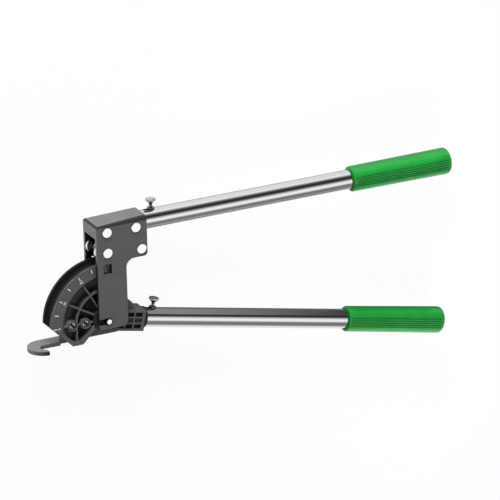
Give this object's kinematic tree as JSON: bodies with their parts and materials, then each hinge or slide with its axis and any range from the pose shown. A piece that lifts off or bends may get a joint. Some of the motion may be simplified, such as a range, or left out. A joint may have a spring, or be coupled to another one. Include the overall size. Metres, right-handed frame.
{
  "type": "tube bender",
  "caption": "Two-handled lever tube bender with a quarter-round grooved former, a swinging roller frame, a holding hook and ribbed grips.",
  "frame": {"origin": "centre of the pivot pin's lower end face, with the tool lying on its far side", "axes": "+Z along the pivot axis, +X along the upper handle away from the head, +Y from the pivot to the upper handle"},
  "size_m": [0.582, 0.2565, 0.0485],
  "materials": {
    "casting": "fine matt black powder coat over a casting",
    "frame_paint": "dark grey powder coat over folded steel",
    "hook_paint": "mid grey powder coat",
    "bolt_steel": "dark zinc plated steel",
    "pin_steel": "bright turned steel",
    "spigot_steel": "plain drawn steel",
    "roller_steel": "polished hardened steel",
    "bush_brass": "plain bronze bush",
    "handle_chrome": "polished steel tube",
    "grip_green": "ribbed green moulded grip",
    "collar_black": "black moulded plastic",
    "screw_steel": "zinc plated steel"
  },
  "bodies": {
    "base": {"base_arm": "casting", "former": "casting", "former_bolts": "bolt_steel", "former_washers": "bolt_steel", "former_nuts": "bolt_steel", "pivot_pin": "pin_steel", "tube_hook": "hook_paint", "hook_screws": "bolt_steel", "lower_spigot": "spigot_steel", "lower_collar": "collar_black"},
    "lever": {"lever_frame": "frame_paint", "handle_pins": "pin_steel", "roller_pin": "pin_steel", "back_pin": "pin_steel", "upper_spigot": "spigot_steel", "upper_collar": "spigot_steel"},
    "roller": {"front_roller": "roller_steel", "roller_bush": "bush_brass"},
    "lower_handle": {"lower_tube": "handle_chrome", "lower_grip": "grip_green", "lower_plug": "collar_black"},
    "upper_handle": {"upper_tube": "handle_chrome", "upper_grip": "grip_green", "upper_plug": "collar_black"},
    "lower_thumb": {"lower_screw": "screw_steel"},
    "upper_thumb": {"upper_screw": "screw_steel"}
  },
  "joints": [
    {"name": "lever_swing", "type": "hinge", "parent": "base", "child": "lever", "pos_m": [0, 0, 0.0208], "axis": [0, 0, 1], "range_deg": [-5, 90]},
    {"name": "roller_spin", "type": "hinge", "parent": "lever", "child": "roller", "pos_m": [0.001, 0.0908, 0.0208], "axis": [0, 0, 1], "continuous": true},
    {"name": "lower_handle_pull", "type": "slide", "parent": "base", "child": "lower_handle", "axis": [0.9792, -0.2028, 0], "range_m": [0, 0.05]},
    {"name": "upper_handle_pull", "type": "slide", "parent": "lever", "child": "upper_handle", "axis": [1, 0, 0], "range_m": [0, 0.05]},
    {"name": "lower_screw_turn", "type": "hinge", "parent": "base", "child": "lower_thumb", "pos_m": [0.06512, -0.01349, 0.0208], "axis": [0.2028, 0.9792, 0], "continuous": true},
    {"name": "upper_screw_turn", "type": "hinge", "parent": "lever", "child": "upper_thumb", "pos_m": [0.0701, 0.1176, 0.0208], "axis": [0, 1, 0], "continuous": true}
  ]
}
